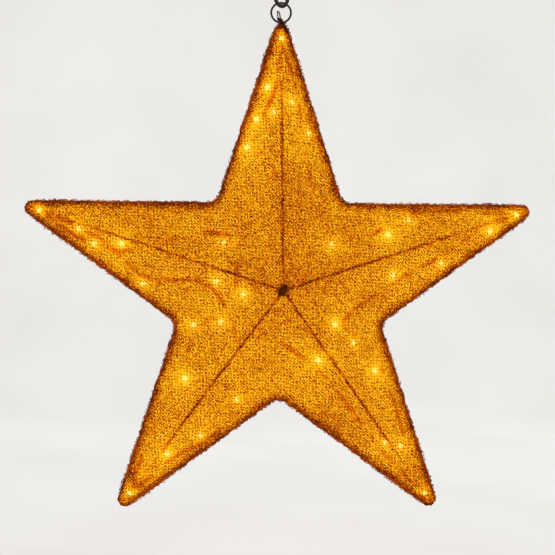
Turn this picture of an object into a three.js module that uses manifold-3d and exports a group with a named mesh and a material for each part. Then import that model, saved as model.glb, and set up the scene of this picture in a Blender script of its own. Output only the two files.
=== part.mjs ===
// Hanging LED star: a welded wire frame with five arms, one piece of open-weave cloth stretched
// over its front and one over its back, a string of small lamps between them, a wire eye and a
// ring at the top point, and an S-hook that holds the ring.
// Millimetres, +Z up. The star faces -Y. The origin is where the S-hook rests on its nail.
import * as THREE from "three";
import { mergeVertices } from "three/addons/utils/BufferGeometryUtils.js";
import Module from "manifold-3d";

const wasm = await Module();
wasm.setup();

// Clearances
const fitGap = 0.3; // between two pieces that touch
const cutOverrun = 3; // how far a cutting solid runs past what it cuts

// Wire frame
const armCount = 5;
const tipReach = 299; // star centre to the rim wire's centreline at a point
const tipBend = 4; // bend radius of the rim wire at a point
const notchBend = 19; // bend radius of the rim wire between two arms
const frameDepth = 78; // rim plane to the frame's apex, to the front and to the back
const rimWireRadius = 1.5;
const ribRadius = 1.25;
const hubRadius = 6;
const hubThickness = 4;

// Cloth covers
const clothThickness = 0.8;
const knotWidth = 10; // the tied knot of cloth on each apex
const knotHeight = 6;
const knotStretch = 1.25; // the knot is oblong: its long and its short side over its width
const knotNarrowing = 0.8;
const knotTurn = THREE.MathUtils.degToRad(45); // its long side, from level
const knotLiftShare = 0.125; // how deep its middle lies under the apex, of its height

// Light string
const cableRadius = 0.9;
const socketRadius = 1.7;
const socketLength = 5;
const lensRadius = 2;
const lensLength = 7;
const lampDepthShare = 0.5; // how far from the rim plane to the front cover most lamps lie

// Each lamp's place in its arm, in the order the cable reaches them: its lens's distance from the
// centre as a share of the tip reach, its distance from the arm's middle as a share of the arm's
// half width there, positive on the clockwise side, and the way its lens points: 1 towards the
// arm's middle, -1 away from it on the rim plane, 0 out along the arm. Arms run clockwise from
// the top.
const lampPlaceShares = [
  [[0.54, -0.8, -1], [0.65, -0.76, -1], [0.67, -0.22, 1], [0.77, -0.6, -1], [0.96, 0, 0],
    [0.71, 0.36, 1], [0.6, 0.76, -1]],
  [[0.23, -0.61, 1], [0.45, -0.38, 1], [0.55, -0.64, 1], [0.96, 0, 0], [0.84, 0.5, -1],
    [0.62, 0.69, -1], [0.42, 0.37, 1]],
  [[0.22, -0.55, 1], [0.32, -0.45, 1], [0.46, -0.6, 1], [0.75, -0.26, 1], [0.96, 0, 0],
    [0.7, 0.1, 1], [0.29, 0.18, 1]],
  [[0.23, 0.65, 1], [0.3, 0.85, -1], [0.48, 0.5, 1], [0.96, 0, 0], [0.75, -0.21, 1],
    [0.62, -0.62, 1], [0.43, -0.57, 1]],
  [[0.24, -0.24, 1], [0.5, -0.82, -1], [0.72, -0.55, -1], [0.96, 0, 0], [0.79, -0.22, 1],
    [0.62, -0.15, 1], [0.26, 0.53, 1], [0.13, -0.58, 1]],
];

// Cable gland in the back cover of the top arm
const glandReach = 128; // from the star centre along the arm
const glandOffset = 20; // from the arm's middle
const glandFlangeRadius = 6;
const glandFlangeThickness = 1.4;
const glandNeckRadius = 3.4;
const feedLength = 24; // straight run of cable behind the gland

// Hanging ring, eye and hook
const ringOuterDiameter = 25;
const ringWireRadius = 1.2;
const ringToPoint = 3.4; // ring wire's centre to the cloth's top edge
const eyeWireRadius = 0.75;
const eyeHalfWidth = 3.8; // half the distance between the eye's two legs
const eyeAboveRing = 13.4; // ring wire's centre to the eye's highest bend
const eyeTurn = THREE.MathUtils.degToRad(24);
const eyeLean = THREE.MathUtils.degToRad(10);
const bindingHeight = 2.2;
const bindingThickness = 0.7;
const hookWireRadius = 2.25;
const hookBend = 12.5; // bend radius of the hook's centreline
const hookLegLength = 25.2; // the straight wire between the hook's two bends
const hookOpenAngle = THREE.MathUtils.degToRad(20); // how far each end runs past level
const hookTurn = THREE.MathUtils.degToRad(50);

// Facets
const wireSides = 8;
const tipSteps = 6;
const notchSteps = 6;
const bendSteps = 8; // in each half turn of the eye
const knotSteps = 14; // round the knot
const hookSteps = 44;
const ringSteps = 40;
const cableStepsPerLamp = 5;
const cableSides = 6;
const lampSides = 8;
const roundSides = 20;

// Angles of the star's outline, measured from an arm's own middle line
const armStep = (2 * Math.PI) / armCount;
const tipHalfAngle = Math.PI / (2 * armCount);
const edgeNormalAngle = Math.PI / 2 - tipHalfAngle;

// Distances from the star's middle line to the straight edges of the frame and of the cloth
const rimApothem = (tipReach - tipBend) * Math.sin(tipHalfAngle) + tipBend;
const coverSlope = Math.atan(frameDepth / rimApothem);
const clothInsideApothem = rimApothem + (rimWireRadius + fitGap) / Math.sin(coverSlope);
const clothOutsideApothem = clothInsideApothem + clothThickness / Math.sin(coverSlope);
const ribApothem = clothInsideApothem - (ribRadius + fitGap) / Math.sin(coverSlope);
const clothTipReach = tipReach + clothOutsideApothem - rimApothem;

// The eye's lower bend presses up against the rim wire from inside the point
const eyeSeat = tipReach - rimWireRadius - fitGap + eyeHalfWidth - eyeWireRadius;
const eyeFoot = eyeSeat - eyeHalfWidth - eyeWireRadius;

// Heights on the middle line, from the hook down to the star
const hookHighBend = hookWireRadius - hookBend;
const hookLowBend = hookHighBend - Math.hypot(hookLegLength, 2 * hookBend);
const hookBottom = hookLowBend - hookBend;
const ringTop = hookBottom + hookWireRadius + ringWireRadius + fitGap;
const ringRadius = ringOuterDiameter / 2 - ringWireRadius;
const ringCentre = ringTop - ringRadius;
const ringBottom = ringCentre - ringRadius;
const starCentre = ringBottom - ringToPoint - clothTipReach;

const finishes = {
  hookSteel: { color: 0x6e6860, metalness: 0.9, roughness: 0.35 },
  ringSteel: { color: 0x1c1a1a, metalness: 0.8, roughness: 0.35 },
  frameSteel: { color: 0x4a2a12, metalness: 0.5, roughness: 0.5 },
  eyeWire: { color: 0x2a201c, metalness: 0.8, roughness: 0.4 },
  cloth: { color: 0xc8780f, metalness: 0, roughness: 0.9 },
  knot: { color: 0x4a2006, metalness: 0, roughness: 0.95 },
  cable: { color: 0x3a1c08, metalness: 0, roughness: 0.5 },
  gland: { color: 0x241408, metalness: 0, roughness: 0.6 },
  lens: { color: 0xffe9a0, metalness: 0, roughness: 0.15 },
};

const material = (finish) => new THREE.MeshStandardMaterial(finishes[finish]);

function piece(name, geometry, finish) {
  const mesh = new THREE.Mesh(geometry, material(finish));
  mesh.name = name;
  return mesh;
}

// A closed geometry as a solid that can be cut and joined.
function toSolid(geometry) {
  const bare = geometry.clone();
  bare.deleteAttribute("normal");
  bare.deleteAttribute("uv");
  const merged = mergeVertices(bare);
  return new wasm.Manifold(
    new wasm.Mesh({
      numProp: 3,
      vertProperties: merged.attributes.position.array,
      triVerts: new Uint32Array(merged.index.array),
    }),
  );
}

function toGeometry(solid) {
  const mesh = solid.getMesh();
  const geometry = new THREE.BufferGeometry();
  geometry.setAttribute("position", new THREE.BufferAttribute(mesh.vertProperties, 3));
  geometry.setIndex(new THREE.BufferAttribute(mesh.triVerts, 1));
  geometry.computeVertexNormals();
  return geometry;
}

function meshed(positions, triangles) {
  const geometry = new THREE.BufferGeometry();
  geometry.setAttribute("position", new THREE.Float32BufferAttribute(positions.flat(), 3));
  geometry.setIndex(triangles.flat());
  geometry.computeVertexNormals();
  return geometry;
}

// The star's outline as (x, z) points, anticlockwise seen from the front. A tip radius of zero
// leaves the points sharp.
function outline(apothem, tipRadius, notchRadius) {
  const tipCentre = (apothem - tipRadius) / Math.sin(tipHalfAngle);
  const notchCentre = (apothem + notchRadius) / Math.cos(edgeNormalAngle - armStep / 2);
  const steps = tipRadius > 0 ? tipSteps : 0;
  const points = [];
  for (let arm = 0; arm < armCount; arm++) {
    const middle = Math.PI / 2 + arm * armStep;
    const tip = new THREE.Vector2(Math.cos(middle), Math.sin(middle)).multiplyScalar(tipCentre);
    for (let i = 0; i <= steps; i++) {
      const angle = middle + (steps ? edgeNormalAngle * ((2 * i) / steps - 1) : 0);
      points.push(new THREE.Vector2(Math.cos(angle), Math.sin(angle)).multiplyScalar(tipRadius).add(tip));
    }
    const between = middle + armStep / 2;
    const notch = new THREE.Vector2(Math.cos(between), Math.sin(between)).multiplyScalar(notchCentre);
    const sweep = 2 * edgeNormalAngle - armStep;
    for (let i = 0; i <= notchSteps; i++) {
      const angle = middle + edgeNormalAngle - (sweep * i) / notchSteps;
      const spoke = new THREE.Vector2(Math.cos(angle), Math.sin(angle)).multiplyScalar(notchRadius);
      points.push(notch.clone().sub(spoke));
    }
  }
  return points;
}

// A tube round a closed flat path of points.
function closedTube(path, planeNormal, radius) {
  const positions = [];
  const triangles = [];
  path.forEach((point, i) => {
    const before = path[(i + path.length - 1) % path.length];
    const after = path[(i + 1) % path.length];
    const along = after.clone().sub(before).normalize();
    const outward = along.cross(planeNormal).normalize();
    for (let side = 0; side < wireSides; side++) {
      const angle = (2 * Math.PI * side) / wireSides;
      const rim = outward.clone().multiplyScalar(radius * Math.cos(angle));
      rim.addScaledVector(planeNormal, radius * Math.sin(angle)).add(point);
      positions.push(rim.toArray());
      const next = (side + 1) % wireSides;
      const ring = i * wireSides;
      const nextRing = ((i + 1) % path.length) * wireSides;
      triangles.push([ring + side, nextRing + side, nextRing + next]);
      triangles.push([ring + side, nextRing + next, ring + next]);
    }
  });
  return meshed(positions, triangles);
}

// A tube through every point of an open path, with its section carried along without twist.
function openTube(path, radius, sides) {
  const positions = [];
  const triangles = [];
  const side = new THREE.Vector3();
  path.forEach((point, i) => {
    const before = path[Math.max(i - 1, 0)];
    const after = path[Math.min(i + 1, path.length - 1)];
    const along = after.clone().sub(before).normalize();
    if (i === 0) side.set(-along.z, 0, along.x);
    side.addScaledVector(along, -side.dot(along)).normalize();
    const across = along.clone().cross(side);
    const ring = positions.length;
    for (let corner = 0; corner < sides; corner++) {
      const angle = (2 * Math.PI * corner) / sides;
      const rim = side.clone().multiplyScalar(radius * Math.cos(angle));
      positions.push(rim.addScaledVector(across, radius * Math.sin(angle)).add(point).toArray());
      const next = ring + ((corner + 1) % sides);
      if (i + 1 === path.length) continue;
      triangles.push([ring + corner, next, next + sides]);
      triangles.push([ring + corner, next + sides, ring + corner + sides]);
    }
  });
  const last = positions.length - sides;
  for (let corner = 2; corner < sides; corner++) {
    triangles.push([0, corner, corner - 1], [last, last + corner - 1, last + corner]);
  }
  return meshed(positions, triangles);
}

// The straight direction of an arm in the star's plane, clockwise from the top.
function armDirection(arm) {
  return new THREE.Vector3(Math.sin(arm * armStep), 0, Math.cos(arm * armStep));
}

// A place in an arm: its distance along the arm, its distance from the arm's middle, clockwise
// positive, and its height in front of the rim plane.
function inArm(arm, along, across, forward) {
  const out = armDirection(arm);
  const clockwise = new THREE.Vector3(out.z, 0, -out.x);
  return out.multiplyScalar(along).addScaledVector(clockwise, across).setY(-forward);
}

// How far a straight face of the given apothem rises in front of the rim plane at a place.
function faceHeight(apothem, along, across) {
  const toEdge = along * Math.sin(tipHalfAngle) + Math.abs(across) * Math.cos(tipHalfAngle);
  return (apothem - toEdge) * Math.tan(coverSlope);
}

function armHalfWidth(along) {
  const besideTip = (rimApothem / Math.sin(tipHalfAngle) - along) * Math.tan(tipHalfAngle);
  return Math.min(besideTip, along * Math.tan(armStep / 2));
}

// A star-shaped pyramid towards the front with its points blunted: the space inside or outside
// one cover.
function blunted(apothem) {
  const beyondRim = apothem - rimApothem;
  const height = apothem * Math.tan(coverSlope);
  const spread = (height + cutOverrun) / height;
  const ring = outline(apothem, 0, notchBend - beyondRim);
  const positions = ring.map((point) => [point.x * spread, cutOverrun, point.y * spread]);
  const apex = positions.push([0, -height, 0]) - 1;
  const foot = positions.push([0, cutOverrun, 0]) - 1;
  const triangles = ring.flatMap((_, i) => {
    const next = (i + 1) % ring.length;
    return [[apex, i, next], [foot, next, i]];
  });
  const pyramid = toSolid(meshed(positions, triangles));
  const wideApothem = apothem + cutOverrun;
  const cosecant = 1 / Math.sin(tipHalfAngle);
  const tipRadius = (wideApothem * cosecant - (tipReach + beyondRim)) / (cosecant - 1);
  const section = new THREE.Shape(outline(wideApothem, tipRadius, notchBend - beyondRim - cutOverrun));
  const depth = height + 2 * cutOverrun;
  const prism = new THREE.ExtrudeGeometry(section, { depth, bevelEnabled: false });
  prism.rotateX(Math.PI / 2).translate(0, 2 * cutOverrun, 0);
  return pyramid.intersect(toSolid(prism));
}

// One cover: a thin shell that stops half a gap short of the rim plane.
function coverSolid() {
  const shell = blunted(clothOutsideApothem).subtract(blunted(clothInsideApothem));
  const behind = new THREE.BoxGeometry(3 * tipReach, cutOverrun * 2, 3 * tipReach);
  behind.translate(0, cutOverrun - fitGap / 2, 0);
  return shell.subtract(toSolid(behind));
}

// The hole at the top point that the hanging eye comes out of.
function eyeHole() {
  const radius = eyeHalfWidth + eyeWireRadius + 2 * fitGap;
  const bottom = eyeFoot - fitGap;
  const length = clothTipReach + cutOverrun - bottom;
  const hole = new THREE.CylinderGeometry(radius, radius, length, roundSides);
  return toSolid(hole.rotateX(Math.PI / 2).translate(0, 0, bottom + length / 2));
}

function turnedBack(solid) {
  return toSolid(toGeometry(solid).rotateZ(Math.PI));
}

// The gland's frame: its origin on the back cover's outside, its axis square to the cloth.
const glandPlace = inArm(0, glandReach, -glandOffset, 0)
  .setY(faceHeight(clothOutsideApothem, glandReach, glandOffset));
const glandAxis = new THREE.Vector3(
  -Math.sin(coverSlope) * Math.cos(tipHalfAngle),
  Math.cos(coverSlope),
  Math.sin(coverSlope) * Math.sin(tipHalfAngle),
);

const feedPoint = glandPlace.clone().addScaledVector(glandAxis, -feedLength);

function alongGland(geometry) {
  const turn = new THREE.Quaternion().setFromUnitVectors(new THREE.Vector3(0, 1, 0), glandAxis);
  return geometry.applyQuaternion(turn).translate(...glandPlace.toArray());
}

function buildCovers() {
  const cloth = coverSolid().subtract(eyeHole());
  const neckHole = new THREE.CylinderGeometry(
    glandNeckRadius + fitGap, glandNeckRadius + fitGap, 2 * cutOverrun, roundSides);
  const back = turnedBack(cloth).subtract(toSolid(alongGland(neckHole)));
  return [
    piece("front_cover", toGeometry(cloth), "cloth"),
    piece("back_cover", toGeometry(back), "cloth"),
  ];
}

function buildRim() {
  const path = outline(rimApothem, tipBend, notchBend);
  const points = path.map((point) => new THREE.Vector3(point.x, 0, point.y));
  return piece("rim_wire", closedTube(points, new THREE.Vector3(0, -1, 0), rimWireRadius), "frameSteel");
}

function rod(name, from, to, radius, finish) {
  const length = from.distanceTo(to);
  const mesh = piece(name, new THREE.CylinderGeometry(radius, radius, length, wireSides), finish);
  const direction = to.clone().sub(from).normalize();
  mesh.quaternion.setFromUnitVectors(new THREE.Vector3(0, 1, 0), direction);
  mesh.position.copy(from).lerp(to, 0.5);
  return mesh;
}

// Five straight ribs from a hub to the points, in front (face 1) or behind (face -1).
function buildRibs(side, face) {
  const inner = hubRadius + fitGap + ribRadius * Math.sin(tipHalfAngle);
  const outer = eyeFoot - fitGap - ribRadius * Math.sin(tipHalfAngle);
  return Array.from({ length: armCount }, (_, arm) => {
    const ends = [inner, outer].map((along) => {
      return inArm(arm, along, 0, face * faceHeight(ribApothem, along, 0));
    });
    return rod(`${side}_rib_${arm + 1}`, ends[0], ends[1], ribRadius, "frameSteel");
  });
}

// A round plate with a low cone on its outer side that the five ribs are welded to.
function buildHub(side, face) {
  const apex = faceHeight(clothInsideApothem, 0, 0) - fitGap / Math.cos(coverSlope);
  const valleySlope = Math.tan(coverSlope) * Math.cos(edgeNormalAngle - armStep / 2);
  const shoulder = apex - hubRadius * valleySlope;
  const profile = [
    [0, shoulder - hubThickness],
    [hubRadius, shoulder - hubThickness],
    [hubRadius, shoulder],
    [0, apex],
  ].map(([radius, height]) => new THREE.Vector2(radius, height));
  const hub = piece(`${side}_hub`, new THREE.LatheGeometry(profile, roundSides), "frameSteel");
  if (face > 0) hub.rotation.z = Math.PI;
  return hub;
}

// The knot of cloth tied over a hub: an oblong lump that sits on the cover's apex.
function buildKnot(side, face) {
  const lump = new THREE.SphereGeometry(knotWidth / 2, knotSteps, knotSteps / 2);
  lump.scale(knotStretch, knotHeight / knotWidth, knotNarrowing).rotateY(-knotTurn);
  lump.translate(0, knotLiftShare * knotHeight - faceHeight(clothOutsideApothem, 0, 0), 0);
  const clear = blunted(clothOutsideApothem + fitGap / Math.sin(coverSlope));
  const knot = piece(`${side}_knot`, toGeometry(toSolid(lump).subtract(clear)), "knot");
  if (face < 0) knot.rotation.z = Math.PI;
  return knot;
}

// The lamps: where each lens has its middle, the way it points, which is square to the line from
// lamp to lamp, or out along the arm at a point of the star, and where its socket joins the cable.
function lampPlaces() {
  const lensMiddle = socketLength + fitGap + lensLength / 2;
  const lamps = lampPlaceShares.flatMap((places, arm) =>
    places.map(([reachShare, widthShare, way]) => {
      const along = tipReach * reachShare;
      const across = armHalfWidth(along) * widthShare;
      const socketAcross = Math.abs(across) + lensMiddle;
      const forward = way === 1 ? lampDepthShare * faceHeight(ribApothem, along, socketAcross) : 0;
      const pointing = way ? inArm(arm, 0, -way * Math.sign(across), 0) : inArm(arm, 1, 0, 0);
      return { lens: inArm(arm, along, across, forward), pointing };
    }),
  );
  lamps.forEach((lamp, i) => {
    const before = i ? lamps[i - 1].lens : feedPoint;
    const after = lamps[Math.min(i + 1, lamps.length - 1)].lens;
    const arriving = lamp.lens.clone().sub(before).normalize();
    const leaving = after.clone().sub(lamp.lens).normalize();
    const cableWay = arriving.add(leaving).normalize();
    const sideways = lamp.pointing.clone().addScaledVector(cableWay, -lamp.pointing.dot(cableWay));
    lamp.out = sideways.normalize();
    lamp.start = lamp.lens.clone().addScaledVector(lamp.out, -lensMiddle);
  });
  return lamps;
}

function lampRod(lamp, from, to, radius) {
  const geometry = new THREE.CylinderGeometry(radius, radius, to - from, lampSides);
  geometry.applyQuaternion(
    new THREE.Quaternion().setFromUnitVectors(new THREE.Vector3(0, 1, 0), lamp.out));
  const middle = lamp.start.clone().addScaledVector(lamp.out, (from + to) / 2);
  return geometry.translate(...middle.toArray());
}

// The light string: one cable from the gland past every lamp, with the sockets moulded on it.
function buildCable(lamps) {
  const mouth = glandPlace.clone().addScaledVector(glandAxis, glandFlangeThickness + fitGap);
  const route = [mouth, feedPoint, ...lamps.map((lamp) => lamp.start)];
  const curve = new THREE.CatmullRomCurve3(route, false, "centripetal");
  const path = curve.getPoints((route.length - 1) * cableStepsPerLamp);
  let cable = toSolid(openTube(path, cableRadius, cableSides));
  for (const lamp of lamps)
    cable = cable.add(toSolid(lampRod(lamp, -socketRadius, socketLength, socketRadius)));
  return piece("light_cable", toGeometry(cable), "cable");
}

// A lamp's lens: a round-nosed rod in front of its socket.
function buildLens(lamp, number) {
  const profile = [
    [0, 0],
    [lensRadius, 0],
    [lensRadius, lensLength - lensRadius],
    [lensRadius * Math.SQRT1_2, lensLength - lensRadius * (1 - Math.SQRT1_2)],
    [0, lensLength],
  ].map(([radius, height]) => new THREE.Vector2(radius, height));
  const lens = piece(`led_lens_${number}`, new THREE.LatheGeometry(profile, lampSides), "lens");
  lens.quaternion.setFromUnitVectors(new THREE.Vector3(0, 1, 0), lamp.out);
  lens.position.copy(lamp.start).addScaledVector(lamp.out, socketLength + fitGap);
  return lens;
}

// A rubber grommet with a flange on each side of the cloth and a bore for the cable.
function buildGland() {
  const bore = cableRadius + fitGap;
  const outside = fitGap;
  const inside = -clothThickness - fitGap;
  const profile = [
    [bore, inside - glandFlangeThickness],
    [glandFlangeRadius, inside - glandFlangeThickness],
    [glandFlangeRadius, inside],
    [glandNeckRadius, inside],
    [glandNeckRadius, outside],
    [glandFlangeRadius, outside],
    [glandFlangeRadius, outside + glandFlangeThickness],
    [bore, outside + glandFlangeThickness],
    [bore, inside - glandFlangeThickness],
  ].map(([radius, height]) => new THREE.Vector2(radius, height));
  return piece("cable_gland", alongGland(new THREE.LatheGeometry(profile, roundSides)), "gland");
}

// The hanging eye: a long closed loop of wire under the rim's top point, bound above the ring,
// with the binding, in a frame that leans and turns about the eye's lower bend.
function buildEye() {
  const top = ringBottom + eyeAboveRing - starCentre - eyeSeat;
  const highBend = top - eyeHalfWidth;
  const points = [];
  for (let i = 0; i <= bendSteps; i++) {
    const angle = (Math.PI * i) / bendSteps;
    const rise = eyeHalfWidth * Math.sin(angle);
    points.push(new THREE.Vector3(0, eyeHalfWidth * Math.cos(angle), highBend + rise));
  }
  for (let i = 0; i <= bendSteps; i++) {
    const angle = Math.PI + (Math.PI * i) / bendSteps;
    points.push(new THREE.Vector3(0, eyeHalfWidth * Math.cos(angle), eyeHalfWidth * Math.sin(angle)));
  }
  const loop = closedTube(points, new THREE.Vector3(1, 0, 0), eyeWireRadius);

  const wrap = new THREE.Shape();
  const wrapRadius = eyeWireRadius + fitGap + bindingThickness;
  wrap.absarc(0, eyeHalfWidth, wrapRadius, 0, Math.PI, false);
  wrap.absarc(0, -eyeHalfWidth, wrapRadius, Math.PI, 2 * Math.PI, false);
  for (const legSide of [-1, 1]) {
    const leg = new THREE.Path();
    leg.absarc(0, legSide * eyeHalfWidth, eyeWireRadius + fitGap, 0, 2 * Math.PI, true);
    wrap.holes.push(leg);
  }
  const binding = new THREE.ExtrudeGeometry(wrap, {
    depth: bindingHeight, bevelEnabled: false, curveSegments: bendSteps });
  const ringAbovePoint = ringBottom - starCentre - eyeSeat;
  const wrapReach = eyeHalfWidth * Math.sin(eyeTurn) + wrapRadius;
  const leftReach = ringAbovePoint * Math.tan(eyeLean) + wrapReach;
  const ringRise = ringRadius - Math.sqrt(ringRadius ** 2 - leftReach ** 2);
  const bindingLow = (ringAbovePoint + ringWireRadius + ringRise + fitGap) / Math.cos(eyeLean)
    + (wrapReach / 2) * Math.tan(eyeLean);
  binding.translate(0, 0, bindingLow);

  const turned = new THREE.Group();
  turned.rotation.z = -eyeTurn;
  turned.add(piece("hanging_eye", loop, "eyeWire"), piece("eye_binding", binding, "knot"));
  const leaning = new THREE.Group();
  leaning.rotation.y = -eyeLean;
  leaning.position.z = eyeSeat;
  leaning.add(turned);
  return leaning;
}

function buildRing() {
  const geometry = new THREE.TorusGeometry(ringRadius, ringWireRadius, wireSides, ringSteps);
  const ring = piece("hanging_ring", geometry, "ringSteel");
  ring.rotation.x = Math.PI / 2;
  ring.position.z = ringCentre;
  return ring;
}

// The S-hook in its own plane: a bend over the nail, a slanted leg, and a bend under the ring.
class HookPath extends THREE.Curve {
  constructor() {
    super();
    const legAngle = Math.atan2(2 * hookBend, hookLegLength);
    this.arc = hookBend * (Math.PI + hookOpenAngle + legAngle);
  }

  getPoint(t, target = new THREE.Vector3()) {
    const length = t * (2 * this.arc + hookLegLength);
    if (length <= this.arc) return this.onBend(length, 1, target);
    const rest = length - this.arc - hookLegLength;
    if (rest >= 0) return this.onBend(this.arc - rest, -1, target);
    const start = this.onBend(this.arc, 1, new THREE.Vector3());
    const end = this.onBend(this.arc, -1, new THREE.Vector3());
    return target.copy(start).lerp(end, (length - this.arc) / hookLegLength);
  }

  // A point on the upper bend, or on the lower one, which is the same bend turned half round.
  onBend(length, way, target) {
    const angle = -hookOpenAngle + length / hookBend;
    const centre = way > 0 ? hookHighBend : hookLowBend;
    const across = way * hookBend * Math.cos(angle);
    return target.set(across, 0, centre + way * hookBend * Math.sin(angle));
  }
}

function buildHook() {
  const path = new HookPath().getSpacedPoints(hookSteps);
  const hook = piece("s_hook", openTube(path, hookWireRadius, wireSides), "hookSteel");
  hook.rotation.z = hookTurn;
  return hook;
}

const star = new THREE.Group();
const lamps = lampPlaces();
star.position.z = starCentre;
star.add(
  buildRim(),
  ...buildRibs("front", 1),
  ...buildRibs("back", -1),
  buildHub("front", 1),
  buildHub("back", -1),
  ...buildCovers(),
  buildKnot("front", 1),
  buildKnot("back", -1),
  buildCable(lamps),
  ...lamps.map((lamp, i) => buildLens(lamp, i + 1)),
  buildGland(),
  buildEye(),
);

const hangingStar = new THREE.Group();
hangingStar.add(buildHook(), buildRing(), star);

export default hangingStar;
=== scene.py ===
"""Hanging LED star: woven covers over a wire frame, lit from inside, with its ring and S-hook."""

import math
import random

import bmesh
import bpy
import numpy as np
from bpy.props import FloatProperty, FloatVectorProperty, IntProperty, PointerProperty
from mathutils import Matrix, Vector
from mathutils.kdtree import KDTree


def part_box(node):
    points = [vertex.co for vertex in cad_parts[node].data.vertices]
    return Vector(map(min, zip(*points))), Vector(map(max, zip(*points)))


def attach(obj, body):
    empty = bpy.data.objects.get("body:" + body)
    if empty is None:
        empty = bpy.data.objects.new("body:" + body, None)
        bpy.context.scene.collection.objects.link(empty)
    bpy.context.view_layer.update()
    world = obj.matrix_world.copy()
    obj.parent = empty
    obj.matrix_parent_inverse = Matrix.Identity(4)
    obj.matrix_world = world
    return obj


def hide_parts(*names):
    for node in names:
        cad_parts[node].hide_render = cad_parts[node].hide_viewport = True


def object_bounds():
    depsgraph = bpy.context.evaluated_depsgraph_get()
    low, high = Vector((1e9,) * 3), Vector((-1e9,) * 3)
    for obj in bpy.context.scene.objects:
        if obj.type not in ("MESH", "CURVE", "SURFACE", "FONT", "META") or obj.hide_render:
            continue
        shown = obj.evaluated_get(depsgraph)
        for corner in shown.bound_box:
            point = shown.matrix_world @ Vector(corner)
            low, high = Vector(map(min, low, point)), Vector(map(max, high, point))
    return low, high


bl_info = {
    "name": "Hanging LED Star",
    "version": (1, 0, 0),
    "blender": (4, 5, 0),
    "location": "View3D > Sidebar > Star",
    "description": "Builds the cloth, wire and light finish of a hanging star around its solids",
    "category": "Object",
}

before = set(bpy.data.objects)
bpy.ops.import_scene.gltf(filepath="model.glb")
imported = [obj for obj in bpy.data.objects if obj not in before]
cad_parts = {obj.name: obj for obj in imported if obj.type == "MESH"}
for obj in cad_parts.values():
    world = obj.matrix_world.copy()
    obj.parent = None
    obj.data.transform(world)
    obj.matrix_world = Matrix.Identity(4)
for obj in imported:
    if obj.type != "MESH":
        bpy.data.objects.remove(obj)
cad_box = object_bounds()

ARMS = 5
ARM_STEP = 2 * math.pi / ARMS
TIP_HALF_ANGLE = math.pi / (2 * ARMS)
LAMPS = sum(name.startswith("led_lens_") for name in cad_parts)
# The lamps that shine brightest, by their number
CLEAR_LAMPS = (1, 2, 4, 5, 9, 11, 12, 15, 17, 19, 21, 24, 25, 26, 32, 34)
MM = 0.001
SIDES = (("front", -1), ("back", 1))


def middle(node):
    low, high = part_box(node)
    return (low + high) / 2


STAR_CENTRE = middle("front_hub").z
COVER_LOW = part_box("front_cover")[0]
TIP_REACH = -COVER_LOW.x / math.sin(ARM_STEP)
APEX_HEIGHT = -COVER_LOW.y


# Sizes and colours

def length(name, default, text):
    return FloatProperty(name=name, default=default, description=text, unit="LENGTH", min=0.0,
                         precision=5)


def number(name, default, text):
    return FloatProperty(name=name, default=default, description=text, min=0.0)


def colour(name, default, text):
    return FloatVectorProperty(name=name, default=default, description=text, subtype="COLOR",
                               min=0.0, max=1.0)


def count(name, default, text):
    return IntProperty(name=name, default=default, description=text, min=1)


def turn(name, degrees, text):
    return FloatProperty(name=name, default=math.radians(degrees), description=text,
                         subtype="ANGLE", unit="ROTATION")


class ClothSettings(bpy.types.PropertyGroup):
    apothem: length("Apothem", 0.09926, "Star centre to a straight edge of the cover")
    notch_bend: length("Notch bend", 0.0149, "Bend radius of the edge between two arms")
    thickness: length("Thickness", 0.0007, "Thickness of the woven cloth")
    sag: length("Sag", 0.0014, "How far the cloth hollows between a rib and the rim")
    ridge_bend: length("Ridge rounding", 0.0009, "How softly the cloth turns over a rib")
    wrinkle: length("Wrinkle", 0.0004, "Height of the small waves in the cloth")
    cuts: count("Cuts", 84, "Cuts of each cover facet's edges")
    thread_pitch: length("Thread pitch", 0.0024, "Distance between the heavy threads")
    cross_pitch: length("Cross thread pitch", 0.0026, "Distance between the fine threads")
    wobble: length("Wobble", 0.0050, "How far threads wander from their line")
    # Also the base colour where the ribs and the rim paint their shade on the cloth
    dark: colour("Dark thread", (0.030, 0.005, 0.0003), "The heavy threads' darkest colour")
    light: colour("Light thread", (0.13, 0.034, 0.0012), "The fine threads' lightest colour")


# The cloth's glow is painted: an emission that stands in for the lamps' light through it
class GlowSettings(bpy.types.PropertyGroup):
    spread: length("Spread", 0.024, "How far one lamp lights the cloth")
    core: length("Core", 0.0018, "Radius of the bright point in front of a lamp")
    patch: length("Patch", 0.0088, "Radius of the soft patch round that point")
    level: number("Level", 0.472, "Brightness of the cloth away from any lamp")
    lamp: number("Lamp", 0.20, "Brightness that one lamp adds to the cloth near it")
    spark: number("Spark", 1.15, "Brightness of the point in front of a lamp")
    halo: number("Halo", 0.44, "Brightness of that soft patch")
    dim: number("Dim", 0.14, "How much the cloth dims above its middle and brightens below it")
    band: number("Band", 0.24, "How much dimmer the cloth is across an arm behind its point")
    lens: colour("Lens", (1.0, 0.80, 0.30), "Colour of a lit lens")


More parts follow.
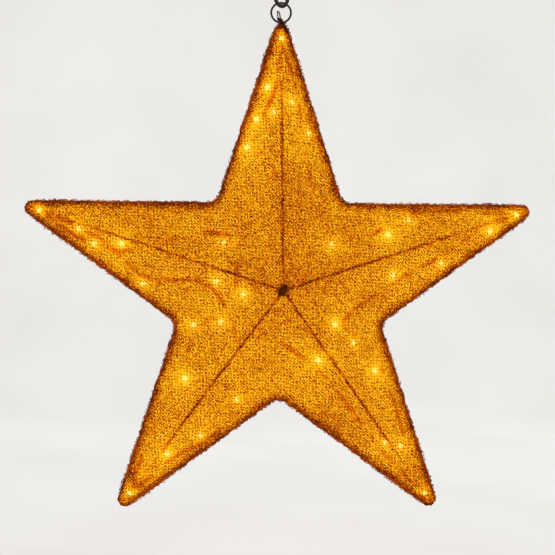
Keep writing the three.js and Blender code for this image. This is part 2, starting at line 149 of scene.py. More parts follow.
class HemSettings(bpy.types.PropertyGroup):
    width: length("Width", 0.0011, "Half the width of the turned edge, outwards")
    depth: length("Depth", 0.0024, "Half the depth of the turned edge, front to back")
    growth: number("Growth", 0.6, "How much thicker the edge is behind each point, as a share")
    loops: count("Loops", 4000, "Yarn loops along the edge")
    reach_in: length("Loops reach in", 0.0022, "How far from the edge the loops spread inwards")
    loop_size: length("Loop size", 0.0021, "How far a yarn loop stands out")
    yarn_radius: length("Yarn radius", 0.00036, "Radius of the yarn in a loop")
    strands: count("Strands", 1500, "Frayed strands along the edge")
    strand_length: length("Strand length", 0.0044, "Length of a long frayed strand")
    strand_radius: length("Strand radius", 0.00017, "Radius of a frayed strand")
    # These are also the colours of the edge's painted glow
    dark: colour("Dark", (0.060, 0.0070, 0.0002), "The edge's darkest colour")
    light: colour("Light", (0.34, 0.056, 0.0012), "The edge's lightest colour")
    # Painted glow: the edge gives out its own colour as light, standing in for the lamps behind it
    warmth: number("Warmth", 0.5, "How much of the lamps' light comes through the edge")


class KnotSettings(bpy.types.PropertyGroup):
    long: length("Length", 0.0064, "Half the length of the knot over a hub")
    short: length("Width", 0.0030, "Half the width of that knot")
    deep: length("Depth", 0.0036, "Half the depth of that knot, front to back")
    tilt: turn("Tilt", 45, "Turn of each knot from level, as seen from outside")
    wrap_radius: length("Wrap radius", 0.00055, "Radius of the yarn wrapped round a knot")
    ends: count("Ends", 230, "Loose ends at each knot")
    end_radius: length("End radius", 0.00028, "Radius of a loose end at a knot")
    bunch_radius: length("Bunch radius", 0.0038, "Middle of the top bunch to its roll's middle")
    bunch_thick: length("Bunch thickness", 0.0023, "Radius of the top bunch's roll")
    bunch_ends: count("Bunch ends", 420, "Loose ends at the top bunch")
    bunch_end_radius: length("Bunch end radius", 0.000272, "Radius of a loose end at the bunch")
    dark: colour("Dark", (0.050, 0.0075, 0.0006), "The knots' darkest colour")
    light: colour("Light", (0.19, 0.036, 0.0025), "The knots' lightest colour")


class HangingSettings(bpy.types.PropertyGroup):
    ring_radius: length("Ring radius", 0.0113, "Ring's middle to its wire's centreline")
    ring_wire: length("Ring wire", 0.0012, "Radius of the ring's wire")
    hook_bend: length("Hook bend", 0.0125, "Bend radius of the hook's centreline")
    hook_wire: length("Hook wire", 0.00225, "Radius of the hook's wire")
    hook_leg: length("Hook leg", 0.0252, "Straight wire between the hook's two bends")
    hook_open: turn("Hook opening", 20, "How far each end of the hook runs past level")
    hook_turn: turn("Hook turn", 50, "Turn of the hook about the upright line")
    eye_half_width: length("Eye half width", 0.0038, "Half the distance between the eye's legs")
    eye_wire: length("Eye wire", 0.00075, "Radius of the eye's wire")
    eye_turn: turn("Eye turn", 24, "Turn of the eye about its own length")
    eye_lean: turn("Eye lean", 10, "Lean of the eye to the left")
    thread_radius: length("Thread radius", 0.00027, "Radius of the thread round the eye's legs")
    wrap_radius: length("Wrap radius", 0.0004, "Radius of the yarn over the ring's lowest wire")
    black: colour("Blackened steel", (0.006, 0.005, 0.0045), "The ring's finish")
    steel: colour("Hook steel", (0.055, 0.042, 0.032), "The hook's finish")


class StageSettings(bpy.types.PropertyGroup):
    picture_width: length("Picture width", 0.6366, "Width of the view at the star")
    distance: length("Camera distance", 1.5, "Camera to the star")
    camera_turn: turn("Camera turn", 3.1, "How far left of the star's front the camera stands")
    camera_roll: turn("Camera roll", 0.4, "Roll of the camera")
    aim_left: length("Aim left", 0.0020, "How far left of the star's middle the camera looks")
    aim_up: length("Aim up", 0.0141, "How far above the star's middle the camera looks")
    floor_drop: length("Floor drop", 0.16, "Floor below the lowest point")
    world: number("World light", 0.55, "Strength of the even light")
    seen_world: number("Seen world", 0.86, "Strength of the backdrop beyond the floor, as seen")
    key: number("Key light", 9.0, "Power of the large soft lamp")
    pale: colour("Pale backdrop", (0.86, 0.85, 0.83), "Colour of the floor and the backdrop")


GROUPS = {
    "star_cloth": ClothSettings,
    "star_glow": GlowSettings,
    "star_hem": HemSettings,
    "star_knot": KnotSettings,
    "star_hanging": HangingSettings,
    "star_stage": StageSettings,
}


# The star's shape

def in_arm(x, z):
    """Each point's place in its own arm: radius, angle from the arm's middle, along and across."""
    radius = np.hypot(x, z)
    angle = np.arctan2(x, z)
    local = angle - np.round(angle / ARM_STEP) * ARM_STEP
    return radius, local, radius * np.cos(local), radius * np.sin(local)


def edge_radius(local, apothem, bend, notch_bend):
    """The outline's radius at each angle from an arm's middle, its points and notches rounded."""
    local = np.abs(local)
    edge = math.pi / 2 - TIP_HALF_ANGLE
    straight = apothem / np.cos(edge - local)
    if bend > 0:
        centre = (apothem - bend) / math.sin(TIP_HALF_ANGLE)
        inside = np.maximum(bend ** 2 - (centre * np.sin(local)) ** 2, 0)
        round_tip = centre * np.cos(local) + np.sqrt(inside)
        meets = math.atan2(bend * math.sin(edge), centre + bend * math.cos(edge))
        straight = np.where(local < meets, round_tip, straight)
    notch = ARM_STEP / 2
    centre = (apothem + notch_bend) / math.cos(edge - notch)
    from_notch = notch - local
    inside = notch_bend ** 2 - (centre * np.sin(from_notch)) ** 2
    round_notch = centre * np.cos(from_notch) - np.sqrt(np.maximum(inside, 0))
    reach = math.atan2(notch_bend * math.sin(edge - notch),
                       centre - notch_bend * math.cos(edge - notch))
    return np.where(from_notch < reach, round_notch, straight)


def tip_bend(apothem):
    """The rounding of the outline's points that gives them the covers' reach."""
    sharp = apothem / math.sin(TIP_HALF_ANGLE)
    return (sharp - TIP_REACH) / (1 / math.sin(TIP_HALF_ANGLE) - 1)


def inside_edge(x, z, apothem, notch_bend):
    """How far each point is inside the rounded outline, square to it."""
    radius, local, along, across = in_arm(x, z)
    local = np.abs(local)
    edge, notch = math.pi / 2 - TIP_HALF_ANGLE, ARM_STEP / 2
    straight = apothem - radius * np.cos(edge - local)
    centre = (apothem + notch_bend) / math.cos(edge - notch)
    to_notch = np.hypot(radius * np.cos(notch - local) - centre,
                        radius * np.sin(notch - local)) - notch_bend
    nearest = np.where(radius * np.sin(edge - local) < centre * math.sin(edge - notch),
                       to_notch, straight)
    bend = tip_bend(apothem)
    tip = (apothem - bend) / math.sin(TIP_HALF_ANGLE)
    round_tip = bend - np.hypot(along - tip, across)
    return np.where(along > tip, np.minimum(nearest, round_tip), nearest)


def outline_points(apothem, steps, notch_bend):
    """Points round the star's outline about even distances apart, clockwise from the top."""
    fine = np.linspace(0, 2 * math.pi, 20001)
    local = fine - np.round(fine / ARM_STEP) * ARM_STEP
    radius = edge_radius(local, apothem, tip_bend(apothem), notch_bend)
    x, z = radius * np.sin(fine), radius * np.cos(fine)
    run = np.concatenate([[0], np.cumsum(np.hypot(np.diff(x), np.diff(z)))])
    at = np.linspace(0, run[-1], steps, endpoint=False)
    return np.interp(at, run, x), np.interp(at, run, z)


# Making pieces

def mesh_of(bm, name):
    """A mesh made of a bmesh, which is freed."""
    mesh = bpy.data.meshes.new(name)
    bm.to_mesh(mesh)
    bm.free()
    return mesh


def finished(name, bm, body, material, replaced=()):
    """An object of the bmesh, with its faces turned outwards."""
    bmesh.ops.recalc_face_normals(bm, faces=bm.faces)
    return placed(name, mesh_of(bm, name), body, material, replaced)


def give_finish(mesh, material):
    mesh.materials.clear()
    mesh.materials.append(material)


def placed(name, mesh, body, material, replaced=()):
    """An object of the mesh, smooth-shaded, in its material and riding on its body."""
    mesh.name = name
    give_finish(mesh, material)
    mesh.shade_smooth()
    piece = bpy.data.objects.new(name, mesh)
    bpy.context.scene.collection.objects.link(piece)
    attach(piece, body)
    if replaced:
        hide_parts(*replaced)
    return piece


def strands_mesh(paths, radius, sides=1, closed=False):
    """One mesh of round strands, each through its points with a share of the radius at each."""
    data = bpy.data.curves.new("strands", "CURVE")
    data.dimensions = "3D"
    data.bevel_depth = radius
    data.bevel_resolution = sides
    data.use_fill_caps = not closed
    for points, shares in paths:
        spline = data.splines.new("POLY")
        spline.points.add(len(points) - 1)
        spline.points.foreach_set("co", [v for p in points for v in (*p, 1.0)])
        spline.points.foreach_set("radius", list(shares))
        spline.use_cyclic_u = closed
        spline.use_smooth = True
    curve = bpy.data.objects.new("strands", data)
    mesh = bpy.data.meshes.new_from_object(curve)
    bpy.data.objects.remove(curve)
    bpy.data.curves.remove(data)
    return mesh


def coordinates(mesh):
    flat = np.empty(len(mesh.vertices) * 3, np.float32)
    mesh.vertices.foreach_get("co", flat)
    return flat.reshape(-1, 3).astype(float)


def set_coordinates(mesh, places):
    mesh.vertices.foreach_set("co", np.ascontiguousarray(places, np.float32).ravel())
    mesh.update()


def set_values(mesh, name, values):
    layer = mesh.attributes.new(name, "FLOAT", "POINT")
    layer.data.foreach_set("value", np.ascontiguousarray(values, np.float32))


def ripple(places, size, seed):
    """Smooth seeded waves between -1 and 1 at each place, of about the given size."""
    rng = np.random.default_rng(seed)
    total = np.zeros(len(places))
    for octave in range(3):
        for _ in range(6):
            way = rng.normal(size=3)
            way *= 2 * math.pi * 2 ** octave / (size * np.linalg.norm(way))
            total += np.sin(places @ way + rng.uniform(0, 2 * math.pi)) / 2 ** octave
    return total / 6


# Materials

# Where each shadow on the cloth is full and where it ends, from its own line or edge
RIB_LINE = (-0.0003, 0.0021)
RIM_BAND = (-0.0006, 0.0096)
CABLE_LINE = (0.0004, 0.0030)
# Heights over the middle plane between which a rib's line comes up to its full strength
LOW_CLOTH = (0.018, 0.036)
# Distances from a lamp between which its bright point is cut off
POINT_FADE = (0.0045, 0.0080)
THREAD_EDGE = 3.5   # how sharply a thread ends at its gap
MOST_GLOW = 0.90    # the cloth's brightest glow beside a lamp's point
# The glow's colours from dark to bright, each with its place
GLOW_TONES = (
    (0.0, (0.012, 0.0007, 0.0)), (0.20, (0.12, 0.009, 0.0)), (0.40, (0.45, 0.058, 0.0001)),
    (0.50, (0.68, 0.118, 0.0002)), (0.60, (0.89, 0.204, 0.0005)), (0.76, (1.0, 0.37, 0.002)),
    (0.90, (1.0, 0.60, 0.009)), (1.0, (1.0, 0.90, 0.18)))


# A Mix node's sockets for colours: its share, its two colours and its result
MIX_SHARE, MIX_FIRST, MIX_SECOND, MIX_RESULT = 0, 6, 7, 2


def reckoned(operation, swapped=False):
    """A method that joins two values with a math node."""
    def joined(self, other):
        pair = (other, self) if swapped else (self, other)
        return self.graph.math(operation, *pair)
    return joined


class Value:
    """A socket of a node tree that can be reckoned with."""

    def __init__(self, graph, socket):
        self.graph, self.socket = graph, socket

    __add__ = reckoned("ADD")
    __radd__ = reckoned("ADD")
    __sub__ = reckoned("SUBTRACT")
    __rsub__ = reckoned("SUBTRACT", swapped=True)
    __mul__ = reckoned("MULTIPLY")
    __truediv__ = reckoned("DIVIDE")


def opaque(tone):
    """A colour with its alpha, or a value as it is."""
    return tone if isinstance(tone, Value) else (*tone, 1.0)


class Graph:
    """Adds nodes to a node tree."""

    def __init__(self, tree):
        self.tree = tree

    def node(self, kind, inputs=None, **settings):
        made = self.tree.nodes.new(kind)
        for name, value in settings.items():
            setattr(made, name, value)
        for name, value in (inputs or {}).items():
            self.put(made.inputs[name], value)
        return made

    def put(self, socket, value):
        if isinstance(value, Value):
            self.tree.links.new(value.socket, socket)
        else:
            socket.default_value = value

    def out(self, made, name=0):
        return Value(self, made.outputs[name])

    def math(self, operation, *values, clamp=False):
        made = self.node("ShaderNodeMath", operation=operation, use_clamp=clamp)
        for socket, value in zip(made.inputs, values):
            self.put(socket, value)
        return self.out(made)

    def mapped(self, value, from_low, from_high, to_low=0.0, to_high=1.0):
        """The value, brought smoothly from one range into another."""
        inputs = {"Value": value, "From Min": from_low, "From Max": from_high,
                  "To Min": to_low, "To Max": to_high}
        return self.out(self.node("ShaderNodeMapRange", inputs, interpolation_type="SMOOTHSTEP"))

    def feed(self, shader, **sockets):
        """Feeds a shader's sockets, each named with underscores for its spaces."""
        for name, value in sockets.items():
            self.put(shader.inputs[name.replace("_", " ")], value)

    def blend(self, share, first, second):
        inputs = {MIX_SHARE: share, MIX_FIRST: opaque(first), MIX_SECOND: opaque(second)}
        return self.out(self.node("ShaderNodeMix", inputs, data_type="RGBA"), MIX_RESULT)

    def parts(self, vector):
        """A vector's X, Y and Z."""
        made = self.node("ShaderNodeSeparateXYZ", {"Vector": vector})
        return [self.out(made, part) for part in "XYZ"]

    def ramp(self, value, *stops):
        made = self.node("ShaderNodeValToRGB", {"Fac": value})
        elements = made.color_ramp.elements
        while len(elements) < len(stops):
            elements.new(0.5)
        for element, (place, shade) in zip(elements, stops):
            element.position = place
            element.color = opaque(shade)
        return self.out(made)

    def attribute(self, name):
        return self.out(self.node("ShaderNodeAttribute", attribute_name=name), "Fac")

    def position(self):
        return self.out(self.node("ShaderNodeTexCoord"), "Object")

    def noise(self, vector, scale, detail, output="Fac", **sockets):
        inputs = {"Vector": vector, "Scale": scale, "Detail": detail, **sockets}
        return self.out(self.node("ShaderNodeTexNoise", inputs), output)

    def swing(self, vector, scale, detail, reach):
        """Noise to either side of zero, over a reach in all."""
        return (self.noise(vector, scale, detail) - 0.5) * reach

    def stretched(self, vector, scale):
        return self.out(self.node("ShaderNodeMapping", {"Vector": vector, "Scale": scale}))

    def bump(self, height, strength, distance):
        return self.out(self.node("ShaderNodeBump", {"Height": height, "Strength": strength,
                                                     "Distance": distance}), "Normal")

    def group(self, tree, **inputs):
        made = self.node("ShaderNodeGroup", node_tree=tree)
        for name, value in inputs.items():
            self.put(made.inputs[name.replace("_", " ").capitalize()], value)
        return made


def new_group(name, inputs, outputs):
    """An empty node group: its graph, its inputs as values, and its output node's sockets."""
    tree = bpy.data.node_groups.new(name, "ShaderNodeTree")
    for socket, kind, default in inputs:
        made = tree.interface.new_socket(socket, in_out="INPUT", socket_type="NodeSocket" + kind)
        if default is not None:
            made.default_value = default
    for socket in outputs:
        tree.interface.new_socket(socket, in_out="OUTPUT", socket_type="NodeSocketFloat")
    graph, given = Graph(tree), tree.nodes.new("NodeGroupInput")
    result = tree.nodes.new("NodeGroupOutput")
    return graph, [graph.out(given, i) for i in range(len(inputs))], result.inputs


def shared_group(build, *settings):
    """The node group that a function builds, built on its first use."""
    name = build.__name__.replace("_", " ")
    return bpy.data.node_groups.get(name) or build(name, *settings)


def open_weave(name, cloth):
    """Two sets of threads at 45 degrees, seen from the front, that wander and pass over and under
    each other: where a thread is, how high it lies, and how thick it is there."""
    graph, (vector, pitch, cross_pitch, wobble), results = new_group(
        name,
        [("Vector", "Vector", None), ("Pitch", "Float", cloth.thread_pitch),
         ("Cross pitch", "Float", cloth.cross_pitch), ("Wobble", "Float", cloth.wobble)],
        ["Threads", "Height", "Heavy", "Fleck"])
    x, _, z = graph.parts(vector)
    heavy_stray, fine_stray, thinness = graph.parts(graph.noise(vector, 130.0, 3.0, "Color"))
    diagonal = math.sqrt(0.5)
    heavy_line = (x + z) * diagonal + (heavy_stray - 0.5) * wobble
    fine_line = (x - z) * diagonal + (fine_stray - 0.5) * wobble
    heavy_wave = graph.math("COSINE", heavy_line / pitch * math.pi)
    fine_wave = graph.math("COSINE", fine_line / cross_pitch * math.pi)
    heavy, fine = heavy_wave * heavy_wave, fine_wave * fine_wave
    crossing = heavy_wave * fine_wave
    slub = graph.noise(vector, 700.0, 2.0)
    broken = graph.noise(graph.stretched(vector, (0.6, 1.0, 1.0)), 430.0, 3.0)
    heavy_gap = graph.mapped(broken, 0.34, 0.66, 0.12, 0.86)
    fine_gap = graph.mapped(thinness, 0.32, 0.68, 0.38, 0.88)
    heavy_on = graph.math("MULTIPLY", heavy - heavy_gap, THREAD_EDGE, clamp=True)
    fine_on = graph.math("MULTIPLY", fine - fine_gap, THREAD_EDGE, clamp=True)
    threads = graph.math("MAXIMUM", heavy_on, fine_on * 0.8)
    over = graph.mapped(crossing + (slub - 0.5) * 1.4, -0.30, 0.30)
    height = graph.math("MAXIMUM", heavy * (0.65 + crossing * 0.35),
                        fine * (0.5 - crossing * 0.35))
    for socket, value in zip(results, (threads, height, heavy_on * over, slub)):
        graph.put(socket, value)
    return graph.tree


def matted_fibres(name):
    """Matted fibres: uneven shade and height at two scales."""
    graph, (vector, scale), results = new_group(
        name, [("Vector", "Vector", None), ("Scale", "Float", 500.0)], ["Shade", "Height"])
    fibres = graph.noise(graph.stretched(vector, (1.0, 0.35, 1.7)), scale, 5.0,
                         Roughness=0.7, Distortion=1.5)
    clumps = graph.noise(vector, scale * 0.25, 2.0)
    graph.put(results["Shade"], graph.mapped(fibres * 0.6 + clumps * 0.4, 0.32, 0.66))
    graph.put(results["Height"], fibres)
    return graph.tree


def wire_wear(name):
    """Handling marks on wire: fine lengthwise scratches and dull patches."""
    graph, (vector, scale), results = new_group(
        name, [("Vector", "Vector", None), ("Scale", "Float", 300.0)],
        ["Patches", "Roughness", "Height"])
    patches = graph.noise(vector, scale, 4.0)
    scratches = graph.noise(graph.stretched(vector, (6.0, 6.0, 0.6)), scale * 2.0, 3.0)
    graph.put(results["Patches"], graph.mapped(patches, 0.4, 0.65))
    graph.put(results["Roughness"],
              graph.mapped((patches + scratches) * 0.5, 0.35, 0.65, 0.22, 0.5))
    graph.put(results["Height"], scratches)
    return graph.tree


def new_material(name, base_colour, **sockets):
    """A material with one Principled shader, its even values set on the shader itself."""
    material = bpy.data.materials.new(name)
    material.diffuse_color = opaque(base_colour)
    material.use_nodes = True
    graph = Graph(material.node_tree)
    shader = material.node_tree.nodes["Principled BSDF"]
    graph.feed(shader, Base_Color=opaque(base_colour), **sockets)
    return material, graph, shader


def rib_shade(graph, vector, ragged, heavy):
    """The light that the ribs leave: a ragged, patchy dark line over each, which fades where the
    cloth lies low, near the points."""
    beside = graph.attribute("beside_ridge")
    strayed = graph.math("ABSOLUTE", beside + graph.swing(vector, 85.0, 2.0, 0.0030))
    from_line = (graph.attribute("from_ridge") + strayed - graph.math("ABSOLUTE", beside)
                 + ragged * 0.0040 - heavy * 0.0012)
    patches = graph.mapped(graph.noise(vector, 62.0, 3.0), 0.38, 0.62, 0.30, 0.66)
    _, depth, _ = graph.parts(vector)
    low = graph.mapped(graph.math("ABSOLUTE", depth), *LOW_CLOTH, 0.75, 0.0)
    return graph.mapped(from_line, *RIB_LINE, patches + (1.0 - patches) * low, 1.0)


def rim_shade(graph, vector, ragged, threads):
    """The light that the rim leaves: a ragged dark band inside the cloth's edge."""
    from_edge = (graph.attribute("from_rim") + ragged * 0.0100
                 + graph.swing(vector, 780.0, 1.0, 0.0280)
                 + graph.swing(vector, 60.0, 2.0, 0.0110) - threads * 0.0016)
    return graph.mapped(from_edge, *RIM_BAND, 0.23, 1.0)


def cable_shade(graph, vector, ragged):
    """The light that the cable leaves: a faint line that comes and goes."""
    from_line = graph.attribute("from_cable") + ragged * 0.0020
    left = graph.mapped(graph.noise(vector, 30.0, 2.0), 0.40, 0.58, 0.66, 0.98)
    return graph.mapped(from_line, *CABLE_LINE, left, 1.0)


def lamp_light(graph, glow, heavy):
    """The bright point in front of each lamp, and the soft patch round it."""
    beside, below = graph.attribute("lamp_x"), graph.attribute("lamp_z")
    gap, power = graph.attribute("lamp_gap"), graph.attribute("lamp_power")
    spread = (beside * beside + below * below) / (-glow.core ** 2)
    point = (graph.math("EXPONENT", spread) * power * graph.mapped(gap, *POINT_FADE, 1.0, 0.0)
             * glow.spark * (1.0 - heavy * 0.35))
    patch = graph.math("EXPONENT", gap * gap / (-glow.patch ** 2)) * power * glow.halo
    return point, patch


def woven_material(name, cloth, glow):
    """Open weave with a painted glow from the lamps behind it, and painted shade over the ribs and
    at the rim.
    """
    material, graph, shader = new_material(name, cloth.light, Roughness=0.9,
                                           Specular_IOR_Level=0.03, Emission_Strength=1.0)
    vector = graph.position()
    weave = graph.group(shared_group(open_weave, cloth), vector=vector)
    threads, heavy, fleck = (graph.out(weave, part) for part in ("Threads", "Heavy", "Fleck"))
    ragged = graph.noise(vector, 420.0, 3.0) - 0.5
    ribs = rib_shade(graph, vector, ragged, heavy)
    rim = rim_shade(graph, vector, ragged, threads)
    shade = ribs * rim * cable_shade(graph, vector, ragged)

    # Painted glow, uneven in broad patches, through the gaps between the threads and with their
    # slubs
    mottle = graph.mapped(graph.noise(vector, 26.0, 3.0), 0.25, 0.75, 0.84, 1.16)
    through = graph.mapped(threads, 0.0, 1.0, 1.62, 0.98) - heavy * 0.66
    lit = (graph.attribute("glow") * mottle * through
           * graph.mapped(fleck, 0.38, 0.62, 0.46, 1.54))
    point, patch = lamp_light(graph, glow, heavy)
    lit = graph.math("MINIMUM", lit + patch * (through * 0.6 + 0.4), MOST_GLOW)
    bright = lit * shade + point * (shade * 0.6 + 0.4)
    yarn = graph.blend(heavy * 0.7 + (1.0 - fleck) * 0.4, cloth.light, cloth.dark)
    # The base colour takes the painted shade of the ribs and the rim too, down to the dark thread
    # colour
    graph.feed(shader, Emission_Color=graph.ramp(bright, *GLOW_TONES),
               Base_Color=graph.blend(rim * ribs, cloth.dark, yarn),
               Alpha=graph.mapped(threads, 0.0, 0.3, 0.90, 1.0),
               Normal=graph.bump(graph.out(weave, "Height"), 0.8, 0.0006))
    return material


def fibre_material(name, dark, light, warmth=0.0):
    """Matted or frayed fibre, which may carry a painted glow in its own colour for the lamps'
    light behind it.
    """
    material, graph, shader = new_material(name, dark, Roughness=0.95, Specular_IOR_Level=0.02,
                                           Emission_Strength=warmth)
    vector = graph.position()
    fuzz = graph.group(shared_group(matted_fibres), vector=vector)
    shade = (graph.out(fuzz, "Shade") * 0.5
             + graph.mapped(graph.noise(vector, 40.0, 2.0), 0.40, 0.60, 0.0, 0.5))
    tone = graph.blend(shade, dark, light)
    graph.feed(shader, Base_Color=tone, Normal=graph.bump(graph.out(fuzz, "Height"), 0.7, 0.0004))
    # Painted glow in the fibre's own tone
    if warmth:
        graph.feed(shader, Emission_Color=tone)
    return material


def wire_material(name, bright, dull, metallic):
    """Drawn wire with patches of dull finish and fine scratches."""
    material, graph, shader = new_material(name, bright, Metallic=metallic)
    wear = graph.group(shared_group(wire_wear), vector=graph.position())
    graph.feed(shader, Base_Color=graph.blend(graph.out(wear, "Patches"), bright, dull),
               Roughness=graph.out(wear, "Roughness"),
               Normal=graph.bump(graph.out(wear, "Height"), 0.25, 0.0001))
    return material


def moulded_material(name, tone, worn):
    """Moulded plastic or rubber with a fine grain."""
    material, graph, shader = new_material(name, tone, Roughness=0.5)
    vector = graph.position()
    grain = graph.noise(vector, 2400.0, 2.0)
    wear = graph.mapped(graph.noise(vector, 180.0, 3.0), 0.35, 0.7)
    graph.feed(shader, Base_Color=graph.blend(wear, tone, worn),
               Roughness=graph.mapped(grain, 0.3, 0.7, 0.42, 0.62),
               Normal=graph.bump(grain, 0.3, 0.00005))
    return material


def lens_material(glow):
    """A lit lens: a hot core that falls off to amber at its sides."""
    material, graph, shader = new_material("lit_lens", glow.lens, Roughness=0.15,
                                           Coat_Weight=0.4, Emission_Strength=2.2)
    facing = graph.out(graph.node("ShaderNodeLayerWeight", {"Blend": 0.35}), "Facing")
    swirl = graph.noise(graph.position(), 500.0, 2.0) * 0.3
    edge = graph.math("ADD", facing, swirl, clamp=True)
    graph.feed(shader, Emission_Color=graph.blend(edge, (1.0, 0.93, 0.52), (1.0, 0.52, 0.06)),
               Base_Color=graph.blend(swirl, glow.lens, (1.0, 0.62, 0.16)))
    return material


# Operators, one for each piece or group of like pieces

NO_BEND = 1e-6                # a bend radius that leaves a corner sharp
CLEAR_POWER = 1.30            # the brightest lamps' share of a plain lamp's power
OTHER_POWERS = (0.45, 0.95)   # the least and the most share of the others
SOCKET_REACH = 0.0088         # how far round a lamp's middle the cable throws no shadow
RIB_HOLD = 0.02               # how far from a rib the cloth first hollows in full
LIP = 0.004                   # how far inside its edge the cloth starts to turn in
OFF_FRAME = 0.00015           # how far the cloth stands off the solid cover
RIDGE_SIDE = 0.004            # the most that a point's place beside a rib is stored as
EDGE_STEPS = 4000             # places round the edge where loops and strands can start


def lamp_places():
    """The middle of each lamp's lens."""
    return np.array([middle(f"led_lens_{i + 1}") for i in range(LAMPS)])


def lamp_powers():
    """How bright each lamp is: the clearest ones alike, the others uneven."""
    rng = random.Random(186)
    return np.array([CLEAR_POWER if i + 1 in CLEAR_LAMPS else rng.uniform(*OTHER_POWERS)
                     for i in range(LAMPS)])


def cable_tree():
    """Points all along the light cable between its lamps, for its shadow on the cloth."""
    mesh, points_an_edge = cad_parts["light_cable"].data, 9
    ends = coordinates(mesh)[[tuple(edge.vertices) for edge in mesh.edges]]
    steps = np.linspace(0, 1, points_an_edge)[:, None, None]
    places = (ends[:, 0] * (1 - steps) + ends[:, 1] * steps).reshape(-1, 3)
    gaps = np.linalg.norm(places[:, None] - lamp_places(), axis=2)
    places = places[gaps.min(axis=1) > SOCKET_REACH]
    tree = KDTree(len(places))
    for i, (x, _, z) in enumerate(places):
        tree.insert((x, 0, z), i)
    tree.balance()
    return tree


def cover_facets(cloth, face):
    """Ten flat facets from the star's middle to its sharp outline, with fine cuts."""
    bm = bmesh.new()
    apex = bm.verts.new((0, 0, 0))
    sharp = cloth.apothem / math.sin(TIP_HALF_ANGLE)
    notch = cloth.apothem / math.cos(math.pi / 2 - TIP_HALF_ANGLE - ARM_STEP / 2)
    ring = []
    for i in range(2 * ARMS):
        angle, reach = i * ARM_STEP / 2, notch if i % 2 else sharp
        ring.append(bm.verts.new((math.sin(angle) * reach, 0, math.cos(angle) * reach)))
    for i, corner in enumerate(ring):
        bm.faces.new((apex, corner, ring[(i + 1) % len(ring)])[::-face])
    bmesh.ops.subdivide_edges(bm, edges=bm.edges, cuts=cloth.cuts, use_grid_fill=True)
    return mesh_of(bm, "cover")


def cover_mesh(cloth, face):
    """A cover's outside: its facets, shaped to the rounded outline and risen over the ribs. Face
    is -1 in front and 1 behind."""
    mesh = cover_facets(cloth, face)
    flat = coordinates(mesh)
    radius, local, _, _ = in_arm(flat[:, 0], flat[:, 2])
    share = radius / edge_radius(local, cloth.apothem, 0, NO_BEND)
    round_edge = edge_radius(local, cloth.apothem, tip_bend(cloth.apothem), cloth.notch_bend)
    steep_edge = edge_radius(local, cloth.apothem, 0, cloth.notch_bend)
    with np.errstate(invalid="ignore", divide="ignore"):
        x, z = (np.where(radius > 0, flat[:, i] / radius * share * round_edge, 0)
                for i in (0, 2))
    radius, _, _, across = in_arm(x, z)
    height = APEX_HEIGHT * (1 - radius / steep_edge)
    from_ridge = np.abs(across)
    slope = APEX_HEIGHT / cloth.apothem * math.cos(TIP_HALF_ANGLE)
    height -= slope * (np.hypot(from_ridge, cloth.ridge_bend) - from_ridge) * (radius > MM)
    from_rim = inside_edge(x, z, cloth.apothem, cloth.notch_bend)
    hollow = 4 * share * (1 - share) * np.minimum(from_ridge / RIB_HOLD, 1)
    places = np.stack([x, np.zeros(len(x)), z], 1)
    waves = ripple(places, 0.030, 11 + face) * cloth.wrinkle
    waves += ripple(places, 0.011, 17 + face) * cloth.wrinkle * 0.35
    height -= hollow * (cloth.sag - waves)
    turned_in = np.clip((LIP - from_rim) / LIP, 0, 1)
    tip_height = APEX_HEIGHT * (1 - round_edge / steep_edge)
    height -= tip_height * (1 - np.sqrt(1 - turned_in ** 2))
    places[:, 1] = face * (np.maximum(height, 0) + OFF_FRAME)
    set_values(mesh, "from_ridge", from_ridge)
    set_values(mesh, "beside_ridge", np.clip(across, -RIDGE_SIDE, RIDGE_SIDE))
    set_values(mesh, "from_rim", from_rim)
    return mesh, places


def soft_patch(x, z, half_width, middle_height, half_height):
    """A soft oval patch over the cloth, 1 in its middle."""
    return np.exp(-(x / half_width) ** 2 - ((z - middle_height) / half_height) ** 2)


def light_cover(mesh, places, glow, cable):
    """Stores what a cover's material needs: how bright the cloth is at each point, where the
    nearest lamp and the cable are from there, and how bright that lamp is."""
    lamps, powers = lamp_places(), lamp_powers()
    centred = places + (0, 0, STAR_CENTRE)
    light = np.full(len(places), glow.level)
    for lamp, power in zip(lamps, powers):
        gap = np.linalg.norm(centred - lamp, axis=1)
        light += glow.lamp * power / (1 + (gap / glow.spread) ** 2) ** 1.5
    apex_loss, band_place, band_spread = 0.08, 0.030, 0.009
    light *= 1 - apex_loss * (np.abs(places[:, 1]) / APEX_HEIGHT) ** 1.5
    x, _, z = places.T
    light *= 1 - glow.dim * soft_patch(x, z, 0.055, 0.045, 0.040)
    light *= 1 + glow.dim * soft_patch(x, z, 0.065, -0.070, 0.045)
    behind_tip = TIP_REACH - in_arm(x, z)[2]
    light *= 1 - glow.band * np.exp(-((behind_tip - band_place) / band_spread) ** 2)
    across = centred[:, None, 0] - lamps[:, 0]
    upward = centred[:, None, 2] - lamps[:, 2]
    gaps = np.hypot(across, upward)
    nearest = (np.arange(len(places)), gaps.argmin(axis=1))
    for name, values in (
            ("glow", light), ("lamp_x", across[nearest]), ("lamp_z", upward[nearest]),
            ("lamp_gap", gaps[nearest]), ("lamp_power", powers[nearest[1]]),
            ("from_cable", [cable.find((x, 0, z))[2] for x, _, z in centred])):
        set_values(mesh, name, values)
    set_coordinates(mesh, centred)


